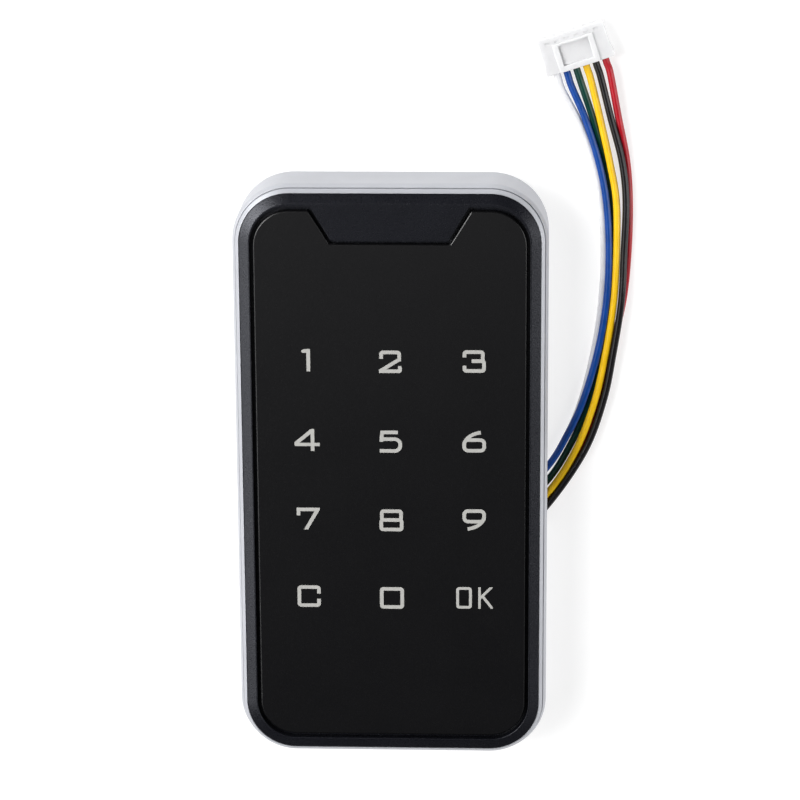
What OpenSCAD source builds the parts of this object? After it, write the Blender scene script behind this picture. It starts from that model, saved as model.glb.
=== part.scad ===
// Keypad access reader, lying on its back: +Z comes out of the touch panel, +Y points to the tab's
// end, +X to the right. The origin is the centre of the back plane. Millimetres.

/* [Housing] */
// Width across the housing
body_w = 78.2; // [77.4:0.1:80]
// Length of the housing, from the plain end to the tab's end
body_h = 148.8; // [148:0.1:152]
// Thickness from the back plane to the bezel's rim
body_t = 19.5; // [19.5:0.1:21]
// Radius of the housing's corners, seen from the front
corner_r = 14.4; // [13.8:0.1:14.8]
// Thickness of the side walls
wall = 2.2; // [2:0.1:2.3]
// Depth of the wiring recess in the back
recess_depth = 4.5; // [4.4:0.1:4.6]

/* [Front] */
// Width of the silver rim that shows around the black bezel
rim_w = 1.85; // [1.7:0.05:2]
// Width of the bezel's sloping band
slope_w = 2.4; // [1.8:0.1:2.5]
// Height that the band drops from the rim to its outer edge
slope_drop = 0.75; // [0.4:0.05:0.9]
// Gap between the touch panel and the bezel
panel_gap = 0.75; // [0.5:0.05:0.9]
// Thickness of the touch panel
panel_t = 1.8; // [1.5:0.1:1.9]
// Length of the tab, measured down from the bezel's opening
tab_drop = 8.6; // [7:0.1:9]

/* [Keys] */
// Distance between key columns
key_pitch_x = 20.8; // [19.5:0.1:21]
// Distance between key rows
key_pitch_y = 20.65; // [19.5:0.05:21]
// Height of a key's legend
legend_h = 5.75; // [4.5:0.05:7]
// Stroke width of a legend
legend_stroke = 0.92; // [0.7:0.01:1.1]

/* [Back] */
// Distance between the two mounting inserts
insert_spacing = 83.3; // [80:0.1:86]
// Radius of the inserts' threaded bore
insert_bore_r = 1.65; // [1.2:0.05:1.8]
// Travel of the tamper plunger
tamper_travel = 1.5; // [1:0.1:1.8]

/* [Wires] */
// Diameter of each wire's insulation
wire_d = 1.8; // [1.4:0.05:1.8]
// Distance between the contacts of the plug
plug_pitch = 2.5; // [2.4:0.1:2.6]

/* [Hidden] */
$fn = 48;

// Colours
silver = [0.78, 0.79, 0.82];
black_plastic = [0.09, 0.09, 0.10];
panel_black = [0.03, 0.03, 0.035];
board_green = [0.05, 0.30, 0.16];
copper = [0.75, 0.45, 0.25];
steel = [0.70, 0.71, 0.72];
chip_black = [0.12, 0.12, 0.13];
nylon_white = [0.93, 0.93, 0.91];

// Heights above the back plane
z_floor = recess_depth;                 // back face of the floor
z_inside = z_floor + 2;                 // front face of the floor
z_seam = body_t - 2.3;                  // parting line
z_ledge_top = body_t - 2.5;             // face that the panel is taped to
z_ledge = z_ledge_top - 1.4;            // underside of the ledge
tape_t = 0.2;
z_panel = z_ledge_top + tape_t;
z_panel_top = z_panel + panel_t;
legend_t = 0.05;
touch_board_t = 1.2;
z_touch_top = z_ledge - 0.6;
z_touch = z_touch_top - touch_board_t;
main_board_t = 1.6;
z_main = z_inside + 1.5;
z_main_top = z_main + main_board_t;
z_skirt = z_seam - 3.9;                 // lower edge of the front frame's skirt
z_gasket = z_skirt - 0.8;

// Outlines, seen from the front
black_w = body_w - 2 * rim_w;
black_h = body_h - 2 * rim_w;
black_r = corner_r - rim_w;
skirt_inset = 3.2;                      // from the wall's outside to the skirt's inside
opening_w = black_w - 5.3;
opening_top = black_h / 2 - 3.15;
opening_bottom = -black_h / 2 + 2.75;
opening_h = opening_top - opening_bottom;
opening_y = (opening_top + opening_bottom) / 2;
opening_r = 9.8;
panel_w = opening_w - 2 * panel_gap;
panel_top = opening_top - panel_gap - 0.3;
panel_bottom = opening_bottom + panel_gap + 0.1;
panel_h = panel_top - panel_bottom;
panel_y = (panel_top + panel_bottom) / 2;
panel_r = opening_r - panel_gap;
tab_bottom = opening_top - tab_drop;
tab_half = 14.4;                        // half the tab's lower edge
tab_slant = 0.6;                        // sideways run of its ends for each millimetre up

// Keys: three columns, four rows
key_xs = [-key_pitch_x, 0, key_pitch_x];
key_top_y = 30.3;
key_ys = [for (row = [0:3]) key_top_y - row * key_pitch_y];

// Corner bosses that the case screws enter
boss_x = body_w / 2 - 8.9;
boss_y = body_h / 2 - 9.2;

// Boards
touch_board_w = 66.8;
touch_board_ys = [-61.5, 61.5];
touch_screw_x = 32.2;
touch_screw_ys = [-54, 0, 54];
main_board_w = 64;
main_board_ys = [-50, 48];
main_screw_x = 28;
main_screw_ys = [-46, 44];

// Tamper switch
tamper_x = 18;
tamper_y = 55;
plunger_tip_z = z_floor - 2 - tamper_travel;
plunger_r = 1.5;
plunger_pin_r = 1;
flange_r = 2.4;
flange_seat_z = z_floor + 0.8;
flange_t = 0.8;
pin_top_z = z_touch - 3.4;
switch_z = z_touch - 4;

// Cable exit: the six wires leave through a rubber comb that looks along +X
gland_y = -20;
gland_pitch = 2.4;
gland_wall_x = 8.7;                     // inner face of the wall that holds the comb
gland_wall_t = 2.2;
gland_w = 15.2;
gland_flange_t = 1.2;
chamber_plate_z = 0.2;                  // back face of the chamber's cover
chamber_z = 1.2;                        // inner face of the chamber's cover
wire_z = 2.6;                           // height of the wires in the comb
wire_rise_x = 4.6;                      // where the wires turn up to the main board
gland_ys = [for (i = [0:5]) gland_y + (2.5 - i) * gland_pitch];
notch_y = [-17, 7];                     // stretch of side wall that is cut away for the wires
notch_h = 3.8;

// Plug: it lies on the surface, turned by plug_turn about +Z
plug_pos = [46.62, 101.62];
plug_turn = 18.2;
plug_l = 9.2;
plug_w = 16.9;
plug_t = 5;
plug_rib = 0.5;
plug_axis_z = 2.6;
function plug_point(across, along) = [
    plug_pos.x + across * cos(plug_turn) - along * sin(plug_turn),
    plug_pos.y + across * sin(plug_turn) + along * cos(plug_turn),
    plug_axis_z];
function plug_entry(i, along) = plug_point((i - 2.5) * plug_pitch, along);

// Wire routes. Each starts under the main board, turns into the comb, runs beneath the housing,
// leaves through the notch and fans out into the plug. Lower wires lie on the surface, upper wires
// lie in the grooves between them.
low = 0.93;
high = 2.5;
top = 2.75;
function wire_start(y) = [
    [wire_rise_x, y, z_main], [wire_rise_x, y, 7.4], [wire_rise_x, y, 6.8], [5.2, y, 4.7],
    [6.7, y, 3.2], [8.8, y, wire_z], [12.2, y, wire_z], [15, y, 2.45]];
function wire_end(i) = [plug_entry(i, -4.5), plug_entry(i, -1.5), plug_entry(i, 1.5)];
white_route = concat(wire_start(gland_ys[0]), [
    [20, -13, 1.4], [30, -9.4, low], [39, -2.3, low], [43.95, 5.95, low], [47.7, 15.35, low],
    [50.8, 28.8, low], [52.5, 41.8, low], [52.9, 54.8, low], [52, 67.5, low], [50, 77.6, 1.05],
    [46.2, 87.5, 2]], wire_end(0));
blue_route = concat(wire_start(gland_ys[1]), [
    [20, -15.4, 2.25], [30, -11, top], [39, -1.9, top], [43.9, 6.3, top], [48, 15.7, top],
    [51.65, 28.8, 2.55], [53.65, 41.8, 2.55], [54.15, 54.8, high], [53.3, 67.5, high],
    [51.25, 77.6, high], [47.95, 88, 2.6]], wire_end(1));
green_route = concat(wire_start(gland_ys[2]), [
    [20, -17.8, 1.4], [30, -14.1, low], [39, -6.2, low], [45.2, 4.1, low], [49.7, 15.6, low],
    [52.65, 28.8, low], [54.55, 41.8, low], [55.1, 54.8, low], [54.6, 67.5, low],
    [52.6, 77.6, 1.05], [49.8, 88, 2]], wire_end(2));
yellow_route = concat(wire_start(gland_ys[3]), [
    [20, -20.2, 2.25], [30, -16.8, high], [39, -9.1, high], [46.3, 2.6, high], [51, 15.7, high],
    [53.7, 28.8, high], [55.5, 41.8, high], [56.05, 54.8, high], [55.8, 67.5, high],
    [54, 77.6, high], [51.6, 88, 2.6]], wire_end(3));
red_route = concat(wire_start(gland_ys[4]), [
    [20, -22.6, 1.4], [30, -19, low], [39, -10.8, low], [47.3, 2.4, low], [52.1, 15.7, low],
    [55.1, 28.8, low], [57.9, 41.8, low], [59, 54.8, low], [59.1, 67.5, low], [58.25, 77.6, 1.05],
    [56.05, 88.5, 2]], wire_end(5));
black_route = concat(wire_start(gland_ys[5]), [
    [20, -25, 2.25], [30, -21, high], [39, -12.3, high], [48.4, 2.1, high], [53.2, 15.7, high],
    [55.6, 28.8, top], [57.4, 41.8, top], [57.9, 54.8, high], [58.2, 67.5, high],
    [57.05, 77.6, high], [54.15, 88.5, 2.6]], wire_end(4));

// ---------------------------------------------------------------- shared shapes

// A centred rectangle with round corners
module round_rect(w, h, r) {
    square([w - 2 * r, h], center = true);
    square([w, h - 2 * r], center = true);
    for (x = [-1, 1], y = [-1, 1])
        translate([x * (w / 2 - r), y * (h / 2 - r)]) circle(r = r);
}

// The same as a plate between two heights
module round_plate(w, h, r, z0, z1) {
    translate([0, 0, z0]) linear_extrude(z1 - z0) round_rect(w, h, r);
}

// A profile carried around a rounded rectangle: the profile's x = 0 lies on the outline, +x points
// outwards and its y is the height
module rim_sweep(w, h, r) {
    for (turn = [0, 180]) {
        rotate(turn) translate([0, h / 2, 0]) rotate([90, 0, 90])
            linear_extrude(w - 2 * r, center = true) children();
        rotate(turn - 90) translate([0, w / 2, 0]) rotate([90, 0, 90])
            linear_extrude(h - 2 * r, center = true) children();
    }
    for (quarter = [0:3])
        translate([sign(cos(quarter * 90 + 45)) * (w / 2 - r),
                   sign(sin(quarter * 90 + 45)) * (h / 2 - r), 0])
            rotate(quarter * 90) rotate_extrude(angle = 90) translate([r, 0]) children();
}

// A box given by its two corners
module box(low_corner, high_corner) {
    translate(low_corner) cube(high_corner - low_corner);
}

// A screw with a round head, drawn along +Z from the underside of its head
module screw(shank_r, shank_l, head_r, head_t) {
    cylinder(r = shank_r, h = shank_l);
    difference() {
        translate([0, 0, -head_t]) cylinder(r = head_r, h = head_t);
        translate([0, 0, -head_t]) for (turn = [0, 90]) rotate(turn)
            translate([-head_r * 0.6, -head_r * 0.13, 0]) cube([head_r * 1.2, head_r * 0.26, head_t * 0.5]);
    }
}

module at_case_bosses() {
    for (x = [-boss_x, boss_x], y = [-boss_y, boss_y]) translate([x, y, 0]) children();
}

module at_touch_screws() {
    for (x = [-touch_screw_x, touch_screw_x], y = touch_screw_ys) translate([x, y, 0]) children();
}

module at_main_screws() {
    for (x = [-main_screw_x, main_screw_x], y = main_screw_ys) translate([x, y, 0]) children();
}

module at_inserts() {
    for (y = [-insert_spacing / 2, insert_spacing / 2]) translate([0, y, 0]) children();
}

module at_keys() {
    for (x = key_xs, y = key_ys) translate([x, y, 0]) children();
}

// The tab's outline, let out by a margin and run up past the bezel's opening
module tab_outline(margin) {
    slant_margin = margin * sqrt(1 + tab_slant * tab_slant);
    low_y = tab_bottom - margin;
    top_y = opening_top + 1;
    function half_at(y) = tab_half + (y - tab_bottom) * tab_slant + slant_margin;
    polygon([[-half_at(low_y), low_y], [half_at(low_y), low_y],
             [half_at(top_y), top_y], [-half_at(top_y), top_y]]);
}

// ---------------------------------------------------------------- housing

module rear_case() {
    shoulder_r = 1.9;
    shoulder_turn = 60;
    shoulder_z = z_seam - shoulder_r * sin(shoulder_turn);
    foot_r = 1.1;
    shelf = 1.3;
    color(silver) difference() {
        union() {
            rim_sweep(body_w, body_h, corner_r)
                polygon(concat(
                    [[-wall, 0]],
                    [for (a = [0:15:90]) foot_r * [sin(a) - 1, 1 - cos(a)]],
                    [for (a = [0:12:shoulder_turn])
                        [shoulder_r * (cos(a) - 1), shoulder_z + shoulder_r * sin(a)]],
                    [[-wall, z_seam], [-wall, z_gasket], [-wall - shelf, z_gasket],
                     [-wall - shelf, z_gasket - 1], [-wall, z_gasket - 1 - shelf]]));
            round_plate(body_w - wall, body_h - wall, corner_r - wall / 2, z_floor, z_inside);
            at_inserts() cylinder(r = 4.5, h = z_inside + 0.9);
            at_main_screws() cylinder_between(2.6, z_floor, z_main);
            chamber_block();
        }
        at_inserts() cylinder(r = 2.8, h = 6);
        at_main_screws() cylinder_between(1.1, z_floor + 0.6, z_main);
        at_case_bosses() cylinder_between(1.4, z_floor, z_inside);
        chamber_space();
        translate([tamper_x, tamper_y, 0]) {
            cylinder_between(plunger_r + 0.06, z_floor, z_inside);
            cylinder_between(flange_r + 0.2, flange_seat_z, z_inside);
        }
        box([body_w / 2 - wall - 1, notch_y[0], 0], [body_w / 2 + 1, notch_y[1], notch_h]);
    }
}

module cylinder_between(r, z0, z1) {
    translate([0, 0, z0]) cylinder(r = r, h = z1 - z0);
}

// The cable chamber hangs from the floor and carries the comb in its right-hand wall
module chamber_block() {
    box([0.9, gland_y - 9.6, chamber_plate_z],
        [gland_wall_x + gland_wall_t, gland_y + 9.6, z_floor + 1]);
}

module chamber_space() {
    box([2.5, gland_y - 8, chamber_z], [gland_wall_x, gland_y + 8, z_inside]);
    box([gland_wall_x, gland_y - gland_w / 2, chamber_z],
        [gland_wall_x + gland_wall_t, gland_y + gland_w / 2, z_floor]);
}

module front_frame() {
    bevel = 0.75;
    z_lip = body_t - slope_drop;
    z_step = z_seam + 0.9;
    lip_out = 1 - rim_w + 0.05;
    color(silver) rim_sweep(body_w, body_h, corner_r)
        polygon([[-skirt_inset, z_skirt], [-wall - 0.1, z_skirt], [-wall - 0.1, z_seam],
                 [-1.3, z_seam], [-1.3, z_seam + 0.2], [lip_out - 0.1, z_seam + 0.2],
                 [lip_out - 0.1, z_lip - bevel], [lip_out - 0.1 - bevel, z_lip],
                 [-rim_w + 0.05, z_lip], [-rim_w + 0.05, z_step], [-skirt_inset, z_step]]);
}

module bezel() {
    z_flange = z_seam + 0.9;
    slope_out = body_t - slope_drop;
    neck = skirt_inset - rim_w + 0.1;
    ledge_w = 6.8;
    color(black_plastic) difference() {
        union() {
            rim_sweep(black_w, black_h, black_r)
                polygon([[0, z_flange], [0, slope_out], [-slope_w, body_t], [-ledge_w, body_t],
                         [-ledge_w, z_ledge], [-neck, z_ledge], [-neck, z_flange]]);
            translate([0, 0, z_ledge]) linear_extrude(body_t - z_ledge)
                intersection() {
                    tab_outline(3.2);
                    translate([0, opening_y]) round_rect(opening_w, opening_h, opening_r);
                }
            at_case_bosses() cylinder_between(3, z_inside, z_ledge + 0.5);
            at_touch_screws() cylinder_between(1.6, z_touch_top, z_ledge + 0.2);
        }
        translate([0, 0, z_ledge_top]) linear_extrude(body_t) difference() {
            translate([0, opening_y]) round_rect(opening_w, opening_h, opening_r);
            tab_outline(0);
        }
        at_case_bosses() cylinder_between(1.25, z_inside, z_inside + 8);
        at_touch_screws() cylinder_between(0.8, z_touch_top, z_ledge_top - 0.3);
    }
}

module panel_outline() {
    difference() {
        translate([0, panel_y]) round_rect(panel_w, panel_h, panel_r);
        tab_outline(panel_gap + 0.05);
    }
}

module touch_panel() {
    color(panel_black) translate([0, 0, z_panel]) linear_extrude(panel_t) panel_outline();
}

module panel_adhesive() {
    color("dimgray") translate([0, 0, z_ledge_top]) linear_extrude(tape_t) difference() {
        translate([0, panel_y]) round_rect(panel_w - 0.6, panel_h - 0.6, panel_r - 0.3);
        translate([0, (tab_bottom - 4 + panel_bottom + 3.6) / 2])
            round_rect(panel_w - 7.2, tab_bottom - 4 - panel_bottom - 3.6, panel_r - 3.6);
        tab_outline(panel_gap + 0.35);
    }
}

module case_gasket() {
    color([0.15, 0.15, 0.15]) rim_sweep(body_w, body_h, corner_r)
        polygon([[-skirt_inset + 0.05, z_gasket], [-wall - 0.15, z_gasket],
                 [-wall - 0.15, z_skirt], [-skirt_inset + 0.05, z_skirt]]);
}

// ---------------------------------------------------------------- legends

// A hollow rounded box of stroke t
module stroke_box(w, h, r, t) {
    difference() {
        round_rect(w, h, r);
        round_rect(w - 2 * t, h - 2 * t, max(r - t, 0.12));
    }
}

// A straight stroke with square ends
module stroke(from, to, t) {
    run = to - from;
    translate(from) rotate(atan2(run.y, run.x)) translate([0, -t / 2]) square([norm(run), t]);
}

module glyph_1(h, t) {
    translate([0.16, -h / 2]) square([t, h]);
    polygon([[0.2, h / 2], [-0.7, h / 2 - 0.12], [-1.17, h / 2 - 0.5], [-0.9, h / 2 - 0.95],
             [0.2, h / 2 - 1]]);
}

module glyph_2(h, t) {
    half = h / 2;
    difference() {
        translate([-0.05, half - 1.75]) stroke_box(5.4, 3.5, 0.95, t);
        translate([-3, -half]) square([4.9, half + 0.75]);
        translate([-3, -half]) square([6, half + 0.15]);
    }
    intersection() {
        stroke([2.45, 0.75], [-2.75, -2.5], t * 0.98);
        translate([-2.85, -half]) square([5.5, half + 0.75]);
    }
    translate([-2.85, -half]) square([5, t]);
    translate([1.15, -half + 1]) intersection() {
        round_rect(3.4, 2, 0.8);
        translate([0.75, -1]) square([0.95, 1.8]);
    }
    translate([0, -half]) square([2.3, t]);
}

module glyph_3(h, t) {
    half = h / 2;
    difference() {
        union() {
            translate([-0.15, half - 1.62]) stroke_box(5.45, 3.24, 0.95, t);
            translate([0, -half + 1.72]) stroke_box(5.75, 3.44, 0.95, t);
        }
        translate([-3.2, -half + 1.8]) square([2.55, h - 3.65]);
    }
}

module glyph_4(h, t) {
    half = h / 2;
    translate([0.95, -half]) square([t, h]);
    translate([-3.1, -1.6]) square([6.3, t * 0.92]);
    intersection() {
        stroke([1.9, half + 0.15], [-3.4, -1.45], t);
        translate([-3.1, -1.6]) square([4.5, half + 1.6]);
    }
}

module glyph_5(h, t) {
    half = h / 2;
    translate([-2.6, half - t]) square([4.35, t]);
    polygon([[-2.6, half], [-2.6 + t, half], [-2.85 + t, -0.05], [-2.85, -0.05]]);
    difference() {
        translate([-1.15, -half + 2]) stroke_box(7.9, 4, 1.9, t);
        translate([-6, -half - 0.1]) square([3.2, 5]);
    }
    polygon([[-2.85, -half + 0.95], [-2.1, -half + t], [-1.8, -half], [-2.55, -half + 0.02]]);
}

module glyph_6(h, t) {
    half = h / 2;
    left = -2.95 + t / 2;
    reach_x = 5;
    reach_y = 3.4;
    foot_y = half - t / 2 - reach_y - 0.05;
    function edge_at(a, side) = [left + reach_x - (reach_x + side) * cos(a), foot_y + (reach_y + side) * sin(a)];
    translate([0, -half + 1.85]) stroke_box(5.9, 3.7, 1.45, t);
    polygon(concat([for (a = [0:8:80]) edge_at(a, t / 2)], [for (a = [80:-8:0]) edge_at(a, -t / 2)]));
}

module glyph_7(h, t) {
    half = h / 2;
    translate([-2.85, half - t]) square([5.2, t]);
    translate([-2.85, half - 2.05]) square([t, 2]);
    intersection() {
        stroke([2.9, half + 0.3], [-0.75, -half - 0.4], t);
        translate([-2, -half]) square([5, h]);
    }
}

module glyph_8(h, t) {
    half = h / 2;
    translate([0, half - 1.62]) stroke_box(5.75, 3.24, 0.95, t);
    translate([0, -half + 1.72]) stroke_box(6.05, 3.44, 0.95, t);
}

module glyph_9(h, t) {
    rotate(180) glyph_6(h, t);
}

module glyph_0(h, t) {
    stroke_box(6.1, h, 0.9, t);
}

module glyph_clear(h, t) {
    difference() {
        stroke_box(5.9, h, 0.95, t);
        translate([1.5, -0.68]) square([2, 1.38]);
    }
}

module glyph_ok(h, t) {
    thin = t * 0.78;
    stem = t * 0.68;
    translate([-2.55, 0]) stroke_box(3.95, h, 0.8, thin);
    translate([1.05, -h / 2]) square([stem, h]);
    intersection() {
        union() {
            stroke([1.4, -0.15], [4.75, h / 2 + 0.35], stem * 1.05);
            stroke([2.1, 0.5], [4.85, -h / 2 - 0.25], stem * 1.1);
        }
        translate([1.2, -h / 2]) square([3.5, h]);
    }
}

module glyph(row, column) {
    key = row * 3 + column + 1;
    h = legend_h;
    t = legend_stroke;
    if (key == 1) glyph_1(h, t);
    if (key == 2) glyph_2(h, t);
    if (key == 3) glyph_3(h, t);
    if (key == 4) glyph_4(h, t);
    if (key == 5) glyph_5(h, t);
    if (key == 6) glyph_6(h, t);
    if (key == 7) glyph_7(h, t);
    if (key == 8) glyph_8(h, t);
    if (key == 9) glyph_9(h, t);
    if (key == 10) glyph_clear(h, t);
    if (key == 11) glyph_0(h, t);
    if (key == 12) glyph_ok(h, t);
}

module key_legends() {
    // the printing sits a little off the keys' centres, column by column
    legend_shift = [[-0.22, 0.1], [0, -0.2], [0, 0]];
    color([0.75, 0.75, 0.73]) for (row = [0:3], column = [0:2])
        translate([key_xs[column] + legend_shift[column].x, key_ys[row] + legend_shift[column].y,
                   z_panel_top])
            linear_extrude(legend_t) glyph(row, column);
}

// ---------------------------------------------------------------- touch electronics

led_size = [2, 1.25, 0.8];
pad_size = [15, 14];
pad_window = [5, 4];
pad_t = 0.1;
status_xs = [-8, 0, 8];
status_y = 52;

module light_guide() {
    guide_w = black_w - 2 * 6.8 - 0.6;
    guide_ys = [-40, 55.4];
    pocket = led_size + [0.6, 0.6, 0.3];
    color([0.85, 0.9, 0.92, 0.5]) difference() {
        box([-guide_w / 2, guide_ys[0], z_touch_top + pad_t], [guide_w / 2, guide_ys[1], z_ledge_top]);
        at_keys() translate([0, 0, z_touch_top]) centred_box(pocket);
        for (x = status_xs) translate([x, status_y, z_touch_top]) centred_box(pocket);
    }
}

// A box centred in X and Y that stands on z = 0
module centred_box(size) {
    translate([-size.x / 2, -size.y / 2, 0]) cube(size);
}

module touch_board() {
    color(board_green) difference() {
        box([-touch_board_w / 2, touch_board_ys[0], z_touch], [touch_board_w / 2, touch_board_ys[1], z_touch_top]);
        at_touch_screws() cylinder_between(0.95, z_touch, z_touch_top);
    }
}

module sensor_pads() {
    color(copper) at_keys() translate([0, 0, z_touch_top]) linear_extrude(pad_t) difference() {
        square(pad_size, center = true);
        square(pad_window, center = true);
    }
}

module led() {
    centred_box(led_size);
}

module backlight_leds() {
    color("white") at_keys() translate([0, 0, z_touch_top]) led();
}

module status_leds() {
    color("palegreen") for (x = status_xs) translate([x, status_y, z_touch_top]) led();
}

// Flat oval winding that reads the card, on the touch board's plain end
module antenna_coil() {
    coil_w = 56;
    coil_h = 18;
    coil_r = 6;
    band = 2.4;
    color(copper) translate([0, -51.3, 0]) difference() {
        round_plate(coil_w, coil_h, coil_r, z_touch_top, z_touch_top + 1.6);
        round_plate(coil_w - 2 * band, coil_h - 2 * band, coil_r - band, z_touch_top - 1, z_touch_top + 3);
    }
}

// A square chip with legs on two or four sides, standing on z = 0
module chip(size, lead_pitch, leads, sides) {
    lead_l = 0.9;
    lead_t = 0.18;
    translate([0, 0, lead_t]) centred_box(size - [0, 0, lead_t]);
    for (turn = sides) rotate(turn)
        for (i = [0:leads - 1])
            translate([(i - (leads - 1) / 2) * lead_pitch - 0.15, size.y / 2 - 0.2, 0])
                cube([0.3, lead_l + 0.2, lead_t]);
}

module touch_controller() {
    color(chip_black) translate([-12, 4, z_touch]) rotate([180, 0, 0])
        chip([7, 7, 1.2], 0.8, 8, [0, 90, 180, 270]);
}

module touch_board_screws() {
    color(steel) at_touch_screws() translate([0, 0, z_touch]) screw(0.8, 2.9, 1.4, 1.1);
}

// ---------------------------------------------------------------- main electronics

module main_board() {
    color(board_green) difference() {
        box([-main_board_w / 2, main_board_ys[0], z_main], [main_board_w / 2, main_board_ys[1], z_main_top]);
        at_main_screws() cylinder_between(1.3, z_main, z_main_top);
        for (y = gland_ys) translate([wire_rise_x, y, 0]) cylinder_between(0.5, z_main, z_main_top);
    }
}

module on_main(x, y) {
    translate([x, y, z_main_top]) children();
}

module microcontroller() {
    color(chip_black) on_main(-10, 14) chip([10, 10, 1.4], 0.8, 11, [0, 90, 180, 270]);
}

module reader_chip() {
    color(chip_black) on_main(-16, -26) chip([10.3, 7.5, 2.3], 1.27, 8, [0, 180]);
}

module voltage_regulator() {
    color(chip_black) on_main(20, -34) {
        translate([0, 0, 0.1]) centred_box([6.5, 3.5, 1.6]);
        for (x = [-2.3, 0, 2.3]) translate([x - 0.35, -3.5, 0]) cube([0.7, 2, 0.2]);
        translate([-1.5, 1.5, 0]) cube([3, 2, 0.2]);
    }
}

module crystal() {
    color(steel) on_main(-10, -7) {
        linear_extrude(0.4) square([11.4, 4.8], center = true);
        translate([0, 0, 0.4]) linear_extrude(2.9) round_rect(10.6, 4, 1.99);
    }
}

module filter_capacitors() {
    color(steel) for (x = [9, 17, 25]) on_main(x, 2) {
        centred_box([6.6, 6.6, 0.5]);
        cylinder(r = 3.1, h = 3.6);
    }
}

module chip_resistors() {
    color([0.2, 0.2, 0.22]) for (row = [0:3], column = [0:4])
        on_main(-28 + column * 3.2, 28 + row * 2.6) centred_box([2, 1.25, 0.5]);
}

module buzzer() {
    color(chip_black) on_main(18, 20) difference() {
        union() {
            centred_box([12, 12, 0.6]);
            cylinder(r = 5.8, h = 3.6);
        }
        translate([0, 0, 2.6]) cylinder(r = 1, h = 2);
    }
}

link_x = -27;
link_pins = 8;
link_pitch = 2.54;
socket_h = 2.4;

module at_link_pins() {
    for (i = [0:link_pins - 1]) translate([link_x, (i - (link_pins - 1) / 2) * link_pitch - 2, 0]) children();
}

module board_link_header() {
    color(chip_black) {
        translate([link_x, -2, z_touch - 1.2]) centred_box([2.4, link_pins * link_pitch, 1.2]);
        at_link_pins() translate([0, 0, z_touch - 3.6]) centred_box([0.6, 0.6, 3]);
    }
}

module board_link_socket() {
    color(chip_black) difference() {
        translate([link_x, -2, z_main_top]) centred_box([2.6, link_pins * link_pitch + 0.4, socket_h]);
        at_link_pins() translate([0, 0, z_main_top + 0.4]) centred_box([0.8, 0.8, socket_h]);
    }
}

module board_screws() {
    color(steel) at_main_screws() translate([0, 0, z_main_top]) rotate([180, 0, 0]) screw(1.1, 3.6, 2.1, 1.4);
}

module wire_solder_joints() {
    color(steel) for (y = gland_ys) translate([wire_rise_x, y, 0]) {
        cylinder_between(0.5, z_main, z_main_top + 0.4);
        translate([0, 0, z_main_top]) cylinder(r1 = 0.95, r2 = 0.45, h = 0.8);
    }
}

// ---------------------------------------------------------------- fixings

module case_screws() {
    color(steel) at_case_bosses() translate([0, 0, z_floor]) screw(1.25, 9.5, 2.3, 1.6);
}

module mounting_inserts() {
    color([0.80, 0.65, 0.30]) at_inserts() difference() {
        cylinder(r = 2.8, h = 6);
        translate([0, 0, -1]) cylinder(r = insert_bore_r, h = 8);
    }
}

// ---------------------------------------------------------------- tamper switch

module tamper_switch() {
    color(chip_black) translate([tamper_x, tamper_y, 0]) difference() {
        translate([0, 0, switch_z]) centred_box([7, 7, z_touch - switch_z]);
        cylinder_between(plunger_pin_r + 0.06, switch_z - 1, switch_z + 3.2);
    }
}

module tamper_plunger() {
    color([0.85, 0.3, 0.2]) translate([tamper_x, tamper_y, 0]) {
        cylinder_between(plunger_r, plunger_tip_z, flange_seat_z);
        cylinder_between(flange_r, flange_seat_z, flange_seat_z + flange_t);
        cylinder_between(plunger_pin_r, flange_seat_z, pin_top_z);
    }
}

// A coil spring drawn as stacked rings joined by a thin sleeve, the same height as the real coil
module tamper_spring() {
    spring_z = flange_seat_z + flange_t;
    spring_h = switch_z - spring_z;
    coils = 5;
    coil_r = 1.65;
    wire_r = 0.2;
    step = (spring_h - 2 * wire_r) / (coils - 1);
    color(steel) translate([tamper_x, tamper_y, spring_z]) {
        for (i = [0:coils - 1]) translate([0, 0, wire_r + i * step])
            rotate_extrude() translate([coil_r, 0]) circle(r = wire_r, $fn = 16);
        difference() {
            translate([0, 0, wire_r]) cylinder(r = coil_r + 0.05, h = spring_h - 2 * wire_r);
            translate([0, 0, -1]) cylinder(r = coil_r - 0.05, h = spring_h + 2);
        }
    }
}

// ---------------------------------------------------------------- cable comb, wires and plug

module cable_gland() {
    flange_w = gland_w + 1.2;
    color([0.1, 0.1, 0.1]) difference() {
        union() {
            box([gland_wall_x, gland_y - gland_w / 2, chamber_z],
                [gland_wall_x + gland_wall_t, gland_y + gland_w / 2, z_floor]);
            box([gland_wall_x + gland_wall_t, gland_y - flange_w / 2, chamber_z - 0.6],
                [gland_wall_x + gland_wall_t + gland_flange_t, gland_y + flange_w / 2, z_floor]);
        }
        for (y = gland_ys) translate([0, y, wire_z]) rotate([0, 90, 0])
            cylinder(r = wire_d / 2 + 0.05, h = 20);
    }
}

// A tube of 8 sides swept along a smooth curve through the route's points
tube_sides = 8;
steps_per_span = 2;
function curve_point(p, i, u) =
    let (a = p[max(i - 1, 0)], b = p[i], c = p[i + 1], d = p[min(i + 2, len(p) - 1)])
    0.5 * (2 * b + (c - a) * u + (2 * a - 5 * b + 4 * c - d) * u * u
           + (3 * b - a - 3 * c + d) * u * u * u);
function curve(p) = concat(
    [for (i = [0:len(p) - 2], s = [0:steps_per_span - 1]) curve_point(p, i, s / steps_per_span)],
    [p[len(p) - 1]]);
function unit(v) = v / norm(v);
function heading(p, i) = unit(p[min(i + 1, len(p) - 1)] - p[max(i - 1, 0)]);
// no wire ever heads along this vector, so each ring's sides are measured from it
ring_vector = [0.02, 1, -0.3];

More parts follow.
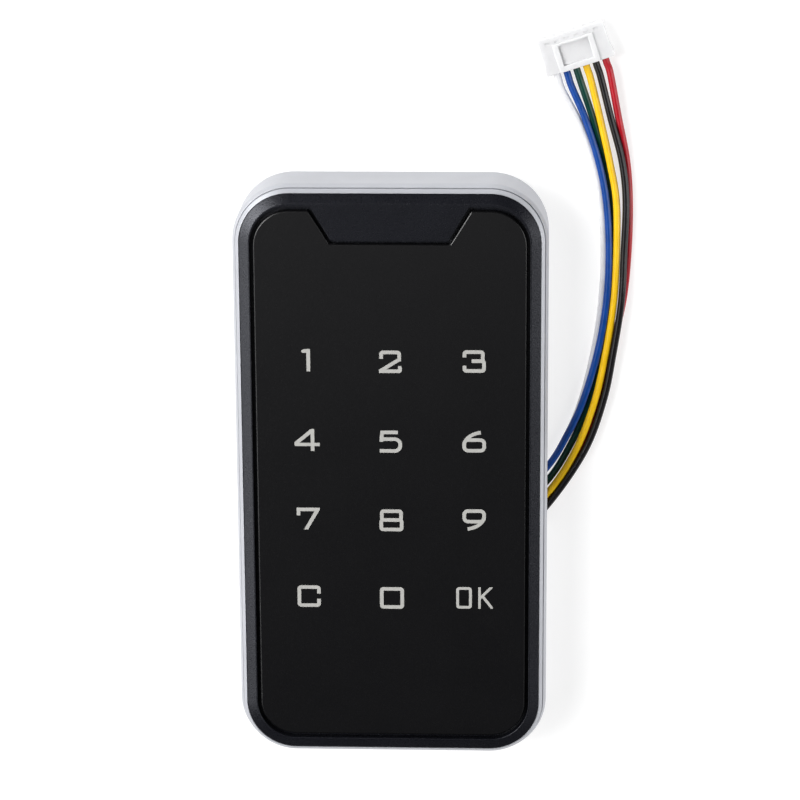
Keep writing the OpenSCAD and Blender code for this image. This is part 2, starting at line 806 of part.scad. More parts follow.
module wire_tube(route) {
    p = curve(route);
    rings = len(p);
    points = [for (i = [0:rings - 1])
        let (t = heading(p, i), u = unit(cross(ring_vector, t)), v = cross(t, u))
        for (k = [0:tube_sides - 1])
            p[i] + wire_d / 2 * (cos((k + 0.5) * 360 / tube_sides) * u + sin((k + 0.5) * 360 / tube_sides) * v)];
    sides = [for (i = [0:rings - 2], k = [0:tube_sides - 1])
        let (a = i * tube_sides + k, b = i * tube_sides + (k + 1) % tube_sides)
        [a, a + tube_sides, b + tube_sides, b]];
    ends = [[for (k = [0:tube_sides - 1]) k],
            [for (k = [tube_sides - 1:-1:0]) (rings - 1) * tube_sides + k]];
    polyhedron(points = points, faces = concat(sides, ends), convexity = 6);
}

module wire_white() { color([0.92, 0.92, 0.93]) wire_tube(white_route); }
module wire_blue() { color([0.05, 0.25, 0.65]) wire_tube(blue_route); }
module wire_green() { color([0.03, 0.22, 0.18]) wire_tube(green_route); }
module wire_yellow() { color([0.95, 0.75, 0.10]) wire_tube(yellow_route); }
module wire_red() { color([0.80, 0.10, 0.15]) wire_tube(red_route); }
module wire_black() { color([0.08, 0.08, 0.09]) wire_tube(black_route); }

// Draws its children in the plug's own frame: +Y runs to the mating end, z = 0 is the surface
module in_plug_frame() {
    translate([plug_pos.x, plug_pos.y, 0]) rotate(plug_turn) children();
}

module at_contacts() {
    for (i = [0:5]) translate([(i - 2.5) * plug_pitch, 0, 0]) children();
}

module plug_housing() {
    rib_x = 4.5;
    rib_w = 1.3;
    rib_l = plug_l - 2;
    ear = 0.4;
    sunk = 0.4;
    top_z = plug_t + plug_rib;
    window_y = plug_l - 1.7;
    color(nylon_white) in_plug_frame() difference() {
        union() {
            translate([-plug_w / 2, 0, 0]) cube([plug_w, plug_l, plug_t]);
            linear_extrude(plug_t) for (side = [-1, 1])
                polygon([[side * (plug_w / 2 - 1), 0], [side * (plug_w / 2 + ear), 0],
                         [side * (plug_w / 2 + ear), 1.3], [side * plug_w / 2, 3],
                         [side * (plug_w / 2 - 1), 3]]);
            for (x = [-rib_x, rib_x]) translate([x - rib_w / 2, 0, 0]) cube([rib_w, rib_l, top_z]);
            translate([-rib_x, 0, 0]) cube([2 * rib_x, 1.4, top_z]);
            translate([-rib_x, rib_l - 0.6, 0]) cube([2 * rib_x, 0.6, top_z]);
        }
        at_contacts() {
            translate([0, -1, plug_axis_z]) rotate([-90, 0, 0]) cylinder(r = 1, h = 3.5);
            translate([-0.85, 2.4, plug_axis_z - 1]) cube([1.7, plug_l - 2.9, 2]);
            translate([-0.45, plug_l - 1, plug_axis_z - 0.45]) cube([0.9, 2, 0.9]);
            translate([-0.6, window_y, plug_t - 0.3]) cube([1.2, 0.6, 1]);
        }
        translate([-rib_x + rib_w / 2, 1.4, plug_t - sunk]) cube([2 * rib_x - rib_w, rib_l - 2, 2]);
    }
}

module plug_terminals() {
    color([0.80, 0.78, 0.70]) in_plug_frame() at_contacts() translate([0, 0, plug_axis_z]) {
        translate([0, 1.5, 0]) rotate([-90, 0, 0]) cylinder(r = 0.75, h = 2.2);
        translate([-0.75, 3.5, -0.9]) cube([1.5, 4.7, 1.8]);
    }
}

rear_case();
front_frame();
bezel();
touch_panel();
key_legends();
panel_adhesive();
light_guide();
touch_board();
sensor_pads();
backlight_leds();
status_leds();
antenna_coil();
touch_controller();
touch_board_screws();
main_board();
microcontroller();
reader_chip();
voltage_regulator();
crystal();
filter_capacitors();
chip_resistors();
buzzer();
board_link_header();
board_link_socket();
board_screws();
wire_solder_joints();
case_gasket();
case_screws();
mounting_inserts();
tamper_switch();
tamper_spring();
tamper_plunger();
cable_gland();
wire_white();
wire_blue();
wire_green();
wire_yellow();
wire_black();
wire_red();
plug_housing();
plug_terminals();
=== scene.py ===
"""Keypad access reader on a pale floor, in the CAD model's own frame. Sizes are in millimetres, and
MM turns them into Blender's metres."""

import math

import bmesh
import bpy
from mathutils import Matrix, Vector


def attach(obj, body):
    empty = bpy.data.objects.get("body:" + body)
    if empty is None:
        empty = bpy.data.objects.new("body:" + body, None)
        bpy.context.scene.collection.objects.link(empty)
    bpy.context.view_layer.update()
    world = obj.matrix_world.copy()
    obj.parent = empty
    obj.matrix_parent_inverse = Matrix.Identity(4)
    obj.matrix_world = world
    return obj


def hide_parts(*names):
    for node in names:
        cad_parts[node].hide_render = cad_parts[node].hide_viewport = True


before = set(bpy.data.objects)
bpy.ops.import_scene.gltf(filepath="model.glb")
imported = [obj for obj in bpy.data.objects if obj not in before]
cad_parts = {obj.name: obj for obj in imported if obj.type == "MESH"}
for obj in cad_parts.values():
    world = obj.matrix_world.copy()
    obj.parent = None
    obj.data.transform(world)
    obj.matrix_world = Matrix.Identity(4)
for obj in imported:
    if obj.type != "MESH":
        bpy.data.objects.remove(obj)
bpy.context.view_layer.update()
MM = 0.001

# Driving sizes in millimetres, as in the CAD source
BODY_W, BODY_H, BODY_T, CORNER_R = 78.2, 148.8, 19.5, 14.4
RIM_W, SLOPE_W, SLOPE_DROP = 1.85, 2.4, 0.75
PANEL_GAP, PANEL_T, TAB_DROP = 0.75, 1.8, 8.6
WIRE_D, PLUG_PITCH = 1.8, 2.5
GLAND_Y, GLAND_PITCH, GLAND_FACE_X = -20, 2.4, 12.1
GLAND_WALL_X, GLAND_HALF, GLAND_BOTTOM = 8.7, 7.6, 1.2
NOTCH_LOW_Y, NOTCH_HIGH_Y, NOTCH_H = -17, 7, 3.8
WIRE_Z, WIRE_RISE_X, BOARD_Z = 2.6, 4.6, 8.0
WALL, RECESS_DEPTH, FLOOR_T = 2.2, 4.5, 2.0
INSERT_SPACING, INSERT_R, INSERT_BORE_R = 83.3, 2.8, 1.65
TAMPER_X, TAMPER_Y, TAMPER_TRAVEL = 18, 55, 1.5
CONTACTS = 6
PLUG_X, PLUG_Y, PLUG_TURN = 46.62, 101.62, math.radians(18.2)
PLUG_W, PLUG_L, PLUG_T, PLUG_RIB = 16.9, 9.2, 5.0, 0.5
TOUCH_SCREWS = [(x, y) for x in (-32.2, 32.2) for y in (-54, 0, 54)]
MAIN_SCREWS = [(x, y) for x in (-28, 28) for y in (-46, 44)]
INSERT_YS = [-INSERT_SPACING / 2, INSERT_SPACING / 2]

# Sizes that follow from them
Z_FLOOR = RECESS_DEPTH
Z_INSIDE = Z_FLOOR + FLOOR_T
Z_SEAM = BODY_T - 2.3
Z_LEDGE_TOP = BODY_T - 2.5
Z_LEDGE = Z_LEDGE_TOP - 1.4
Z_PANEL = Z_LEDGE_TOP + 0.2
Z_PANEL_TOP = Z_PANEL + PANEL_T
Z_GASKET = Z_SEAM - 4.7
BOSS_X, BOSS_Y = BODY_W / 2 - 8.9, BODY_H / 2 - 9.2
CASE_SCREWS = [(x, y) for x in (-BOSS_X, BOSS_X) for y in (-BOSS_Y, BOSS_Y)]
Z_TOUCH_TOP = Z_LEDGE - 0.6
BLACK_W, BLACK_H, BLACK_R = BODY_W - 2 * RIM_W, BODY_H - 2 * RIM_W, CORNER_R - RIM_W
OPENING_HALF_W = BLACK_W / 2 - 2.65
OPENING_TOP = BLACK_H / 2 - 3.15
OPENING_BOTTOM = -BLACK_H / 2 + 2.75
OPENING_R = 9.8
TAB_BOTTOM = OPENING_TOP - TAB_DROP
TAB_HALF, TAB_SLANT = 14.4, 0.6


# ------------------------------------------------------------------ camera

def add_camera():
    """The photograph's viewpoint: nearly overhead, tilted towards the tab's end."""
    tilt, turn, roll = math.radians(16), math.radians(9.22), math.radians(-0.35)
    distance = 778.7
    aim = Vector((2.36, 20.41, BODY_T))
    back = Vector((math.sin(tilt) * math.sin(turn), math.sin(tilt) * math.cos(turn), math.cos(tilt)))
    right = Vector((0, 1, 0)).cross(back).normalized()
    up = back.cross(right)
    right, up = (math.cos(roll) * right + math.sin(roll) * up,
                 math.cos(roll) * up - math.sin(roll) * right)
    data = bpy.data.cameras.new("camera")
    data.sensor_width = 36
    data.lens = 140.95
    camera = bpy.data.objects.new("camera", data)
    camera.matrix_world = (Matrix.Translation((aim + distance * back) * MM)
                           @ Matrix((right, up, back)).transposed().to_4x4())
    bpy.context.scene.collection.objects.link(camera)
    bpy.context.scene.camera = camera


add_camera()


# ------------------------------------------------------------------ materials

def node_material(name):
    material = bpy.data.materials.new(name)
    material.use_nodes = True
    tree = material.node_tree
    shader = tree.nodes["Principled BSDF"]
    return material, tree, shader


NOISE_RANGE = (0.3, 0.7)    # most noise values lie between these
SCATTER_DEPTH = 0.0014      # how far light goes into the nylon, in metres


def add_noise(tree, scale, detail):
    """Noise in object coordinates; scale is in cells for each metre."""
    place = tree.nodes.new("ShaderNodeTexCoord")
    noise = tree.nodes.new("ShaderNodeTexNoise")
    noise.inputs["Scale"].default_value = scale
    noise.inputs["Detail"].default_value = detail
    tree.links.new(place.outputs["Object"], noise.inputs["Vector"])
    return noise.outputs["Fac"]


def spread(tree, value, low, high, at=NOISE_RANGE):
    """Maps a value that runs between the two in at onto low..high."""
    node = tree.nodes.new("ShaderNodeMapRange")
    node.inputs["From Min"].default_value = at[0]
    node.inputs["From Max"].default_value = at[1]
    node.inputs["To Min"].default_value = low
    node.inputs["To Max"].default_value = high
    tree.links.new(value, node.inputs["Value"])
    return node.outputs["Result"]


def mix_colour(tree, value, dark, light):
    ramp = tree.nodes.new("ShaderNodeValToRGB")
    for stop, place, colour in zip(ramp.color_ramp.elements, NOISE_RANGE, (dark, light)):
        stop.position = place
        stop.color = (*colour, 1)
    tree.links.new(value, ramp.inputs["Fac"])
    return ramp.outputs["Color"]


def add_bump(tree, shader, height, distance):
    bump = tree.nodes.new("ShaderNodeBump")
    bump.inputs["Distance"].default_value = distance
    tree.links.new(height, bump.inputs["Height"])
    tree.links.new(bump.outputs["Normal"], shader.inputs["Normal"])


def surface(name, dark, light, rough=(0.35, 0.45), metallic=0.0, cells=(400, 3000),
            grain=0.00001, subsurface=0.0, specular=0.5, tint=(1, 1, 1), transmission=0.0):
    """A moulded, painted or plated surface: colour and gloss drift over broad cells, and fine
    cells give the grain."""
    material, tree, shader = node_material(name)
    broad = add_noise(tree, cells[0], 3)
    fine = add_noise(tree, cells[1], 2)
    tree.links.new(mix_colour(tree, broad, dark, light), shader.inputs["Base Color"])
    tree.links.new(spread(tree, fine, *rough), shader.inputs["Roughness"])
    add_bump(tree, shader, fine, grain)
    shader.inputs["Metallic"].default_value = metallic
    shader.inputs["Specular IOR Level"].default_value = specular
    shader.inputs["Specular Tint"].default_value = (*tint, 1)
    if subsurface:
        shader.inputs["Subsurface Weight"].default_value = subsurface
        shader.inputs["Subsurface Radius"].default_value = (1, 1, 1)
        shader.inputs["Subsurface Scale"].default_value = SCATTER_DEPTH
    if transmission:
        shader.inputs["Transmission Weight"].default_value = transmission
    return material


materials = {
    "silver": surface("silver_paint", (0.436, 0.446, 0.478), (0.466, 0.476, 0.510), (0.36, 0.48),
                      0.35, (120, 5200), 0.000006),
    "bezel": surface("bezel_black", (0.0042, 0.0045, 0.0066), (0.0058, 0.0061, 0.0088),
                     (0.25, 0.33), 0.0, (90, 3600), 0.00004, specular=0.34,
                     tint=(0.9, 0.92, 1.0)),
    "panel": surface("panel_black", (0.0040, 0.0040, 0.0046), (0.0047, 0.0047, 0.0053),
                     (0.255, 0.275), 0.0, (60, 1400), 0.0000005, specular=0.4),
    "legend": surface("legend_ink", (0.38, 0.376, 0.357), (0.42, 0.416, 0.397), (0.45, 0.55), 0.0,
                      (800, 5000), 0.000002),
    "tape": surface("foam_tape", (0.08, 0.08, 0.08), (0.12, 0.12, 0.12), (0.7, 0.9), 0.0,
                    (500, 3000), 0.00004),
    "guide": surface("guide_clear", (0.75, 0.80, 0.82), (0.82, 0.86, 0.88), (0.12, 0.2), 0.0,
                     (200, 900), 0.00001, transmission=0.6),
    "board": surface("board_green", (0.010, 0.10, 0.045), (0.016, 0.14, 0.065), (0.28, 0.4), 0.0,
                     (300, 2200), 0.00002),
    "copper": surface("copper_bare", (0.52, 0.25, 0.12), (0.62, 0.33, 0.18), (0.25, 0.4), 1.0,
                      (500, 2600), 0.00001),
    "led": surface("led_clear", (0.75, 0.74, 0.66), (0.84, 0.83, 0.75), (0.15, 0.25), 0.0,
                   (600, 2600), 0.00001),
    "chip": surface("chip_black", (0.022, 0.022, 0.024), (0.035, 0.035, 0.038), (0.5, 0.65), 0.0,
                    (700, 5000), 0.00002),
    "steel": surface("steel_plated", (0.50, 0.50, 0.51), (0.60, 0.60, 0.61), (0.22, 0.36), 1.0,
                     (500, 3800), 0.00001),
    "can": surface("can_aluminium", (0.66, 0.66, 0.67), (0.74, 0.74, 0.75), (0.25, 0.38), 1.0,
                   (400, 3000), 0.00001),
    "solder": surface("solder_joint", (0.55, 0.55, 0.54), (0.65, 0.65, 0.64), (0.2, 0.35), 1.0,
                      (900, 4000), 0.00002),
    "rubber": surface("rubber_black", (0.018, 0.018, 0.018), (0.028, 0.028, 0.028), (0.6, 0.75), 0.0,
                      (500, 4000), 0.00003),
    "brass": surface("brass_turned", (0.55, 0.38, 0.13), (0.66, 0.47, 0.18), (0.2, 0.34), 1.0,
                     (500, 4200), 0.00001),
    "plunger": surface("plunger_red", (0.42, 0.035, 0.02), (0.50, 0.05, 0.03), (0.3, 0.42), 0.0,
                       (500, 4000), 0.00001),
    "nylon": surface("nylon_white", (0.70, 0.70, 0.71), (0.74, 0.74, 0.75), (0.34, 0.46), 0.0,
                     (300, 2600), 0.00001, subsurface=0.8),
    "tin": surface("tin_plated", (0.58, 0.57, 0.54), (0.68, 0.67, 0.64), (0.24, 0.38), 1.0,
                   (600, 4000), 0.00001),
}


def insulation(name, dark, light):
    """Extruded insulation: faintly uneven colour and a soft shine."""
    return surface(name, dark, light, (0.12, 0.18), 0.0, (350, 2400), 0.000008, specular=0.3)


wire_colours = {
    "white": ((0.72, 0.72, 0.74), (0.80, 0.80, 0.82)),
    "blue": ((0.001, 0.044, 0.23), (0.003, 0.058, 0.31)),
    "green": ((0.001, 0.032, 0.022), (0.003, 0.046, 0.034)),
    "yellow": ((0.84, 0.50, 0.006), (0.92, 0.57, 0.012)),
    "black": ((0.006, 0.005, 0.006), (0.010, 0.009, 0.010)),
    "red": ((0.38, 0.006, 0.014), (0.47, 0.012, 0.024)),
}

node_finishes = {
    "silver": ["rear_case", "front_frame"],
    "bezel": ["bezel"],
    "panel": ["touch_panel"],
    "legend": ["key_legends"],
    "tape": ["panel_adhesive"],
    "guide": ["light_guide"],
    "board": ["touch_board", "main_board"],
    "copper": ["sensor_pads", "antenna_coil"],
    "led": ["backlight_leds", "status_leds"],
    "chip": ["touch_controller", "microcontroller", "reader_chip", "voltage_regulator",
             "chip_resistors", "buzzer", "board_link_header", "board_link_socket", "tamper_switch"],
    "steel": ["touch_board_screws", "board_screws", "case_screws", "tamper_spring", "crystal"],
    "can": ["filter_capacitors"],
    "solder": ["wire_solder_joints"],
    "rubber": ["case_gasket", "cable_gland"],
    "brass": ["mounting_inserts"],
    "plunger": ["tamper_plunger"],
    "nylon": ["plug_housing"],
    "tin": ["plug_terminals"],
}
for finish, names in node_finishes.items():
    for name in names:
        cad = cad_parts[name]
        cad.data.materials.clear()
        cad.data.materials.append(materials[finish])


# ------------------------------------------------------------------ wires

def plug_point(across, along):
    return (PLUG_X + across * math.cos(PLUG_TURN) - along * math.sin(PLUG_TURN),
            PLUG_Y + across * math.sin(PLUG_TURN) + along * math.cos(PLUG_TURN), WIRE_Z)


def comb_y(place):
    """Where a wire passes through the comb; places count from 0 at the tab's end."""
    return GLAND_Y + (2.5 - place) * GLAND_PITCH


def contact_x(contact):
    """A contact's place across the plug."""
    return (contact - 2.5) * PLUG_PITCH


def wire_start(y):
    return [(WIRE_RISE_X, y, BOARD_Z), (WIRE_RISE_X, y, 7.4), (WIRE_RISE_X, y, 6.8), (5.2, y, 4.7),
            (6.7, y, 3.2), (8.8, y, WIRE_Z), (12.2, y, WIRE_Z), (15, y, 2.45)]


def wire_end(contact):
    return [plug_point(contact_x(contact), along) for along in (-4.5, -1.5, 1.5)]


LOW, HIGH, TOP = 0.93, 2.5, 2.75
# colour: (place in the comb, contact in the plug, the points between)
wire_routes = {
    "white": (0, 0, [
        (20, -13, 1.4), (30, -9.4, LOW), (39, -2.3, LOW), (43.95, 5.95, LOW), (47.7, 15.35, LOW),
        (50.8, 28.8, LOW), (52.5, 41.8, LOW), (52.9, 54.8, LOW), (52, 67.5, LOW), (50, 77.6, 1.05),
        (46.2, 87.5, 2)]),
    "blue": (1, 1, [
        (20, -15.4, 2.25), (30, -11, TOP), (39, -1.9, TOP), (43.9, 6.3, TOP), (48, 15.7, TOP),
        (51.65, 28.8, 2.55), (53.65, 41.8, 2.55), (54.15, 54.8, HIGH), (53.3, 67.5, HIGH),
        (51.25, 77.6, HIGH), (47.95, 88, 2.6)]),
    "green": (2, 2, [
        (20, -17.8, 1.4), (30, -14.1, LOW), (39, -6.2, LOW), (45.2, 4.1, LOW), (49.7, 15.6, LOW),
        (52.65, 28.8, LOW), (54.55, 41.8, LOW), (55.1, 54.8, LOW), (54.6, 67.5, LOW),
        (52.6, 77.6, 1.05), (49.8, 88, 2)]),
    "yellow": (3, 3, [
        (20, -20.2, 2.25), (30, -16.8, HIGH), (39, -9.1, HIGH), (46.3, 2.6, HIGH), (51, 15.7, HIGH),
        (53.7, 28.8, HIGH), (55.5, 41.8, HIGH), (56.05, 54.8, HIGH), (55.8, 67.5, HIGH),
        (54, 77.6, HIGH), (51.6, 88, 2.6)]),
    "red": (4, 5, [
        (20, -22.6, 1.4), (30, -19, LOW), (39, -10.8, LOW), (47.3, 2.4, LOW), (52.1, 15.7, LOW),
        (55.1, 28.8, LOW), (57.9, 41.8, LOW), (59, 54.8, LOW), (59.1, 67.5, LOW),
        (58.25, 77.6, 1.05), (56.05, 88.5, 2)]),
    "black": (5, 4, [
        (20, -25, 2.25), (30, -21, HIGH), (39, -12.3, HIGH), (48.4, 2.1, HIGH), (53.2, 15.7, HIGH),
        (55.6, 28.8, TOP), (57.4, 41.8, TOP), (57.9, 54.8, HIGH), (58.2, 67.5, HIGH),
        (57.05, 77.6, HIGH), (54.15, 88.5, 2.6)]),
}


def curve_length(points):
    """Length in millimetres of the smooth curve through the points."""
    total = 0
    steps = 16
    for i in range(len(points) - 1):
        a, b = points[max(i - 1, 0)], points[i]
        c, d = points[i + 1], points[min(i + 2, len(points) - 1)]
        last = b
        for s in range(1, steps + 1):
            u = s / steps
            here = 0.5 * (2 * b + (c - a) * u + (2 * a - 5 * b + 4 * c - d) * u * u
                          + (3 * b - a - 3 * c + d) * u ** 3)
            total += (here - last).length
            last = here
    return total


def add_wire(colour):
    place, contact, middle = wire_routes[colour]
    y = comb_y(place)
    points = [Vector(p) for p in wire_start(y) + middle + wire_end(contact)]
    curve = bpy.data.curves.new("wire_" + colour, "CURVE")
    curve.dimensions = "3D"
    curve.bevel_depth = WIRE_D / 2 * MM
    curve.bevel_resolution = 6
    curve.resolution_u = 8
    curve.use_fill_caps = True
    spline = curve.splines.new("BEZIER")
    spline.bezier_points.add(len(points) - 1)
    for i, p in enumerate(points):
        slope = (points[min(i + 1, len(points) - 1)] - points[max(i - 1, 0)]) / 6
        knot = spline.bezier_points[i]
        knot.handle_left_type = knot.handle_right_type = "FREE"
        knot.co = p * MM
        knot.handle_left = (p - slope) * MM
        knot.handle_right = (p + slope) * MM
    wire = bpy.data.objects.new("wire_" + colour + "_insulation", curve)
    bpy.context.scene.collection.objects.link(wire)
    curve.materials.append(insulation("insulation_" + colour, *wire_colours[colour]))
    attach(wire, "case")
    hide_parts("wire_" + colour)
    return wire, y, curve_length(points)


wires = {colour: add_wire(colour) for colour in wire_routes}


# ------------------------------------------------------------------ mesh helpers

def fillet(corners, steps=6):
    """Rounds each (x, y, radius) corner of a closed outline and gives its points."""
    points = []
    count = len(corners)
    for i, (x, y, radius) in enumerate(corners):
        here = Vector((x, y))
        if radius <= 0:
            points.append(here)
            continue
        before = (Vector(corners[i - 1][:2]) - here).normalized()
        after = (Vector(corners[(i + 1) % count][:2]) - here).normalized()
        half = before.angle(after) / 2
        centre = here + (before + after).normalized() * radius / math.sin(half)
        first = here + before * radius / math.tan(half) - centre
        sweep = first.angle_signed(here + after * radius / math.tan(half) - centre)
        for s in range(steps + 1):
            points.append(centre + Matrix.Rotation(-sweep * s / steps, 2) @ first)
    return points


def offset(points, distance):
    """Moves a closed outline inwards by distance; the outline runs anticlockwise."""
    moved = []
    for i, p in enumerate(points):
        one = (p - points[i - 1]).normalized()
        two = (points[(i + 1) % len(points)] - p).normalized()
        n1, n2 = Vector((-one.y, one.x)), Vector((-two.y, two.x))
        moved.append(p + (n1 + n2) * distance / (1 + n1.dot(n2)))
    return moved


def rectangle(half_w, top, bottom, radius):
    """Corners of a rounded rectangle, anticlockwise."""
    return [(-half_w, bottom, radius), (half_w, bottom, radius),
            (half_w, top, radius), (-half_w, top, radius)]


def ring_at(bm, outline, z):
    return [bm.verts.new(Vector((p.x, p.y, z)) * MM) for p in outline]


def bridge(bm, lower, upper):
    count = len(lower)
    for i in range(count):
        j = (i + 1) % count
        bm.faces.new((lower[i], lower[j], upper[j], upper[i]))


def fill_between(bm, outer, inner):
    """A flat face between two rings that may have different numbers of points."""
    edges = []
    for ring in (outer, inner):
        for i, vert in enumerate(ring):
            pair = (vert, ring[(i + 1) % len(ring)])
            edges.append(bm.edges.get(pair) or bm.edges.new(pair))
    bmesh.ops.triangle_fill(bm, use_beauty=True, use_dissolve=False, edges=edges)


def as_object(bm, name):
    bmesh.ops.recalc_face_normals(bm, faces=bm.faces)
    mesh = bpy.data.meshes.new(name)
    bm.to_mesh(mesh)
    bm.free()
    piece = bpy.data.objects.new(name, mesh)
    bpy.context.scene.collection.objects.link(piece)
    return piece


def soften(piece, width, segments=2):
    """Rounds every sharp edge by that many millimetres."""
    bevel = piece.modifiers.new("soft edges", "BEVEL")
    bevel.width = width * MM
    bevel.segments = segments
    bevel.limit_method = "ANGLE"
    bevel.angle_limit = math.radians(35)
    bevel.use_clamp_overlap = False


def with_modifiers(piece):
    """The mesh that an object's modifiers make; the object itself is removed."""
    graph = bpy.context.evaluated_depsgraph_get()
    result = bmesh.new()
    result.from_mesh(piece.evaluated_get(graph).to_mesh())
    bpy.data.objects.remove(piece)
    return result


def softened(bm, width):
    """The same closed shape with its sharp edges rounded."""
    piece = as_object(bm, "softened")
    soften(piece, width, 3)
    return with_modifiers(piece)


def finish_mesh(bm, name, finish, body="case", soft_edge=0.0):
    """Makes the mesh a piece; soft_edge rounds its sharp edges."""
    piece = as_object(bm, name)
    mesh = piece.data
    mesh.polygons.foreach_set("use_smooth", [True] * len(mesh.polygons))
    mesh.materials.append(materials[finish])
    if soft_edge:
        soften(piece, soft_edge)
    else:
        mesh.set_sharp_from_angle(angle=math.radians(40))
    weighted = piece.modifiers.new("flat faces stay flat", "WEIGHTED_NORMAL")
    weighted.keep_sharp = True
    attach(piece, body)
    return piece


def swept_ring(half_w, half_h, radius, profile, corner_steps=24):
    """A closed profile of (inset, z, radius) corners swept round a rounded rectangle."""
    outline = fillet(rectangle(half_w, half_h, -half_h, radius), corner_steps)
    bm = bmesh.new()
    rings = [ring_at(bm, offset(outline, p.x), p.y) for p in fillet(profile, 4)]
    for i, ring in enumerate(rings):
        bridge(bm, rings[i - 1], ring)
    return bm


def solid_prism(outline, z0, z1):
    bm = bmesh.new()
    low, high = ring_at(bm, outline, z0), ring_at(bm, outline, z1)
    bridge(bm, low, high)
    bm.faces.new(high)
    bm.faces.new(list(reversed(low)))
    return bm


def solid_box(low, high):
    outline = [Vector(p) for p in ((low[0], low[1]), (high[0], low[1]), (high[0], high[1]),
                                   (low[0], high[1]))]
    return solid_prism(outline, low[2], high[2])


def circle(x, y, radius, steps=48):
    return [Vector((x + radius * math.cos(a), y + radius * math.sin(a)))
            for a in (2 * math.pi * i / steps for i in range(steps))]


def solid_round(x, y, radius, z0, z1, steps=48):
    return solid_prism(circle(x, y, radius, steps), z0, z1)


def lathe(x, y, profile, steps=48):
    """A closed profile of (radius, z, fillet) corners turned about the vertical line at x, y."""
    bm = bmesh.new()
    rings = [ring_at(bm, circle(x, y, p.x, steps), p.y) for p in fillet(profile, 3)]
    for i, ring in enumerate(rings):
        bridge(bm, rings[i - 1], ring)
    return bm


def turned(x, y, profile, steps=40):
    """An open profile of (radius, z, fillet) corners turned about x, y and closed at both ends."""
    bm = bmesh.new()
    rings = [ring_at(bm, circle(x, y, p.x, steps), p.y) for p in fillet(profile, 4)]
    for lower, upper in zip(rings, rings[1:]):
        bridge(bm, lower, upper)
    bm.faces.new(rings[-1])
    bm.faces.new(list(reversed(rings[0])))
    return bm


def solid_bar(start, axis, length, radius, steps=24):
    """A round bar that runs from start along +X or +Y."""
    bm = solid_round(0, 0, radius, 0, length, steps)
    angle, about = {"X": (90, "Y"), "Y": (-90, "X")}[axis]
    lay = Matrix.Rotation(math.radians(angle), 4, about)
    bmesh.ops.transform(bm, matrix=Matrix.Translation(Vector(start) * MM) @ lay, verts=bm.verts)
    return bm


def combine(base, added, cut):
    """Joins closed shapes to a base and cuts others away, as one closed mesh."""
    body = as_object(base, "combined")
    tools = []
    for shapes, operation in ((added, "UNION"), (cut, "DIFFERENCE")):
        for shape in shapes:
            tool = as_object(shape, "tool")
            step = body.modifiers.new("step", "BOOLEAN")
            step.operation = operation
            step.solver = "EXACT"
            step.object = tool
            tools.append(tool)
    result = with_modifiers(body)
    for tool in tools:
        bpy.data.objects.remove(tool)
    smallest = 0.002 * MM
    bmesh.ops.remove_doubles(result, verts=result.verts, dist=smallest)
    bmesh.ops.dissolve_degenerate(result, edges=result.edges, dist=smallest)
    return result


# ------------------------------------------------------------------ silver front frame

frame_profile = [
    (3.2, Z_SEAM - 3.9, 0.2), (3.2, Z_SEAM + 0.9, 0.1), (1.8, Z_SEAM + 0.9, 0.1),
    (1.8, BODY_T - SLOPE_DROP, 0.06), (1.65, BODY_T - SLOPE_DROP, 0.3),
    (0.9, BODY_T - SLOPE_DROP - 0.75, 0.25), (0.9, Z_SEAM + 0.2, 0.12),
    (1.3, Z_SEAM + 0.2, 0.0), (1.3, Z_SEAM, 0.0), (2.3, Z_SEAM, 0.0), (2.3, Z_SEAM - 3.9, 0.2)]
front_shell = finish_mesh(swept_ring(BODY_W / 2, BODY_H / 2, CORNER_R, frame_profile),
                          "front_frame_shell", "silver")
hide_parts("front_frame")


# ------------------------------------------------------------------ rear case

